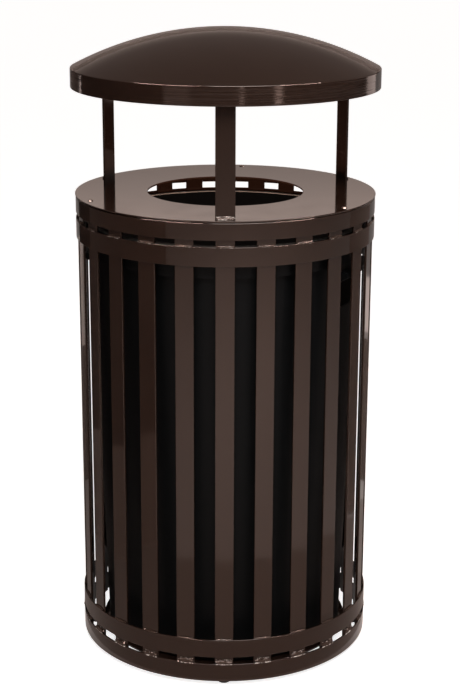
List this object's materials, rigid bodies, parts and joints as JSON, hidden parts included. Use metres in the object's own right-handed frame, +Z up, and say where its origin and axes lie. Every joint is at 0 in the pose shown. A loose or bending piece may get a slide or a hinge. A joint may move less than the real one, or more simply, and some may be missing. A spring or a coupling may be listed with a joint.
{
  "type": "outdoor trash can",
  "caption": "Round slatted steel outdoor trash can with a rain bonnet on posts over an open lid, a lift-out rigid plastic liner and screw-in levelling feet.",
  "frame": {"origin": "on the ground below the centre of the can", "axes": "+Z up, front of the can along -Y, right-hand side along +X"},
  "size_m": [0.622, 0.622, 1.2892],
  "materials": {
    "powder_coat": "semi-gloss dark brown powder coat on steel",
    "rivet": "dark brown coated rivet",
    "zinc": "zinc plated steel",
    "glide": "dark moulded glide",
    "liner": "black moulded plastic, satin"
  },
  "bodies": {
    "cage": {"slat_01": "powder_coat", "slat_02": "powder_coat", "slat_03": "powder_coat", "slat_04": "powder_coat", "slat_05": "powder_coat", "slat_06": "powder_coat", "slat_07": "powder_coat", "slat_08": "powder_coat", "slat_09": "powder_coat", "slat_10": "powder_coat", "slat_11": "powder_coat", "slat_12": "powder_coat", "slat_13": "powder_coat", "slat_14": "powder_coat", "slat_15": "powder_coat", "slat_16": "powder_coat", "slat_17": "powder_coat", "slat_18": "powder_coat", "slat_19": "powder_coat", "slat_20": "powder_coat", "slat_21": "powder_coat", "slat_22": "powder_coat", "slat_23": "powder_coat", "slat_24": "powder_coat", "slat_25": "powder_coat", "slat_26": "powder_coat", "bottom_ring": "powder_coat", "lower_ring": "powder_coat", "upper_ring": "powder_coat", "top_ring": "powder_coat", "base_bar": "powder_coat", "base_stub_right": "powder_coat", "base_stub_left": "powder_coat", "base_plate": "powder_coat", "nut_front": "zinc", "nut_right": "zinc", "nut_back": "zinc", "nut_left": "zinc"},
    "lid": {"lid_plate": "powder_coat", "post_front": "powder_coat", "post_right": "powder_coat", "post_left": "powder_coat", "bonnet": "powder_coat", "lid_lug_1": "powder_coat", "lid_lug_2": "powder_coat", "lid_lug_3": "powder_coat", "lid_rivet_1": "rivet", "lid_rivet_2": "rivet", "lid_rivet_3": "rivet"},
    "liner": {"liner": "liner"},
    "leveller_front": {"stud_front": "zinc", "pad_front": "glide"},
    "leveller_right": {"stud_right": "zinc", "pad_right": "glide"},
    "leveller_back": {"stud_back": "zinc", "pad_back": "glide"},
    "leveller_left": {"stud_left": "zinc", "pad_left": "glide"}
  },
  "joints": [
    {"name": "lid_lift", "type": "slide", "parent": "cage", "child": "lid", "axis": [0, 0, 1], "range_m": [0, 1.6]},
    {"name": "liner_lift", "type": "slide", "parent": "cage", "child": "liner", "axis": [0, 0, 1], "range_m": [0, 0.96]},
    {"name": "leveller_front_screw", "type": "slide", "parent": "cage", "child": "leveller_front", "axis": [0, 0, -1], "range_m": [0, 0.012]},
    {"name": "leveller_right_screw", "type": "slide", "parent": "cage", "child": "leveller_right", "axis": [0, 0, -1], "range_m": [0, 0.012]},
    {"name": "leveller_back_screw", "type": "slide", "parent": "cage", "child": "leveller_back", "axis": [0, 0, -1], "range_m": [0, 0.012]},
    {"name": "leveller_left_screw", "type": "slide", "parent": "cage", "child": "leveller_left", "axis": [0, 0, -1], "range_m": [0, 0.012]}
  ],
  "couplings": [
    {"joint": "liner_lift", "follows": "lid_lift", "ratio": 0.6}
  ]
}
